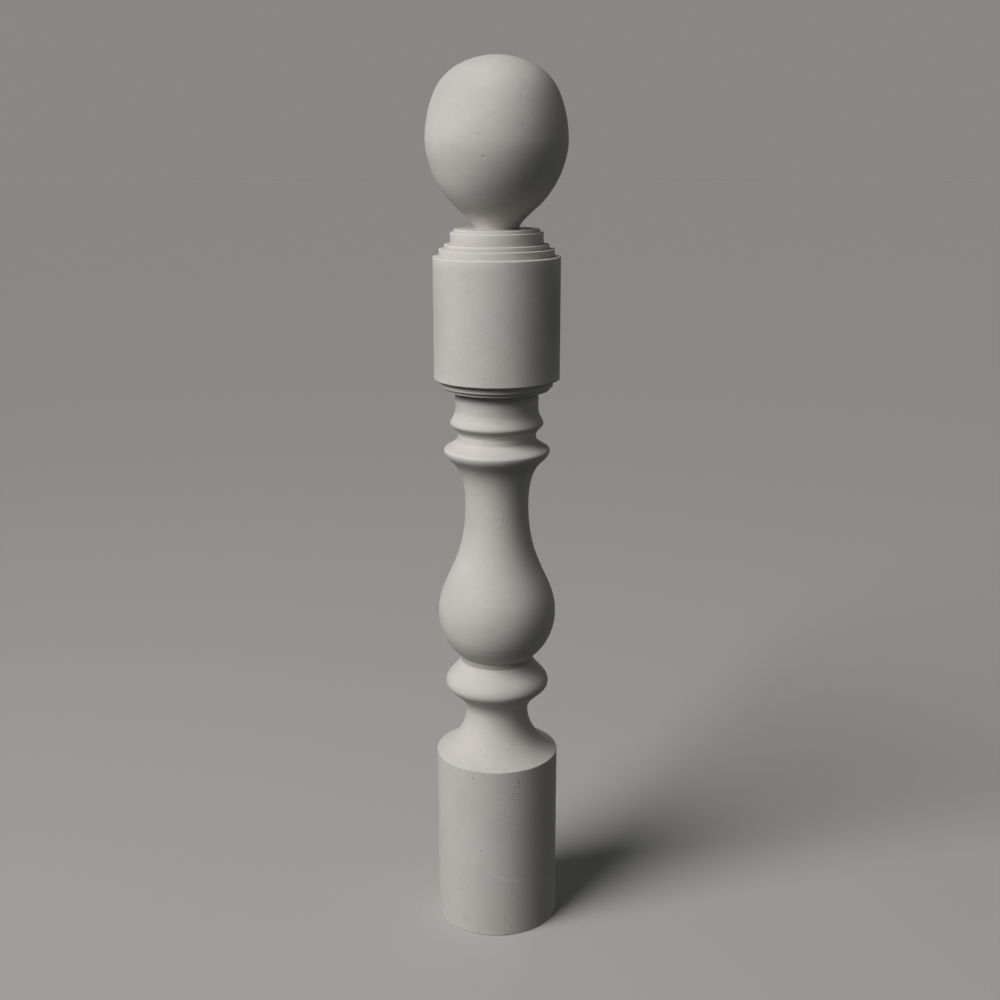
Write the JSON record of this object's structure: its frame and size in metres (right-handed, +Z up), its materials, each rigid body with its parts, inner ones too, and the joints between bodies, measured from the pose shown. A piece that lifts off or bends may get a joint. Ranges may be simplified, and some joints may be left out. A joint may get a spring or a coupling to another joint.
{
  "type": "stone baluster",
  "caption": "Turned stone baluster newel: round base drum, vase-shaped shaft between rings, plain upper drum with a stepped cap and a ball top.",
  "frame": {"origin": "centre of the round underside, which stands on the ground", "axes": "+Z up along the turning axis; +X and +Y are alike, because the piece is turned"},
  "size_m": [0.1726, 0.1726, 1.1235],
  "materials": {
    "stone": "matt rubbed pale grey stone, slightly warm, with fine pits and faint mottling"
  },
  "bodies": {
    "root": {"baluster": "stone"}
  },
  "joints": []
}
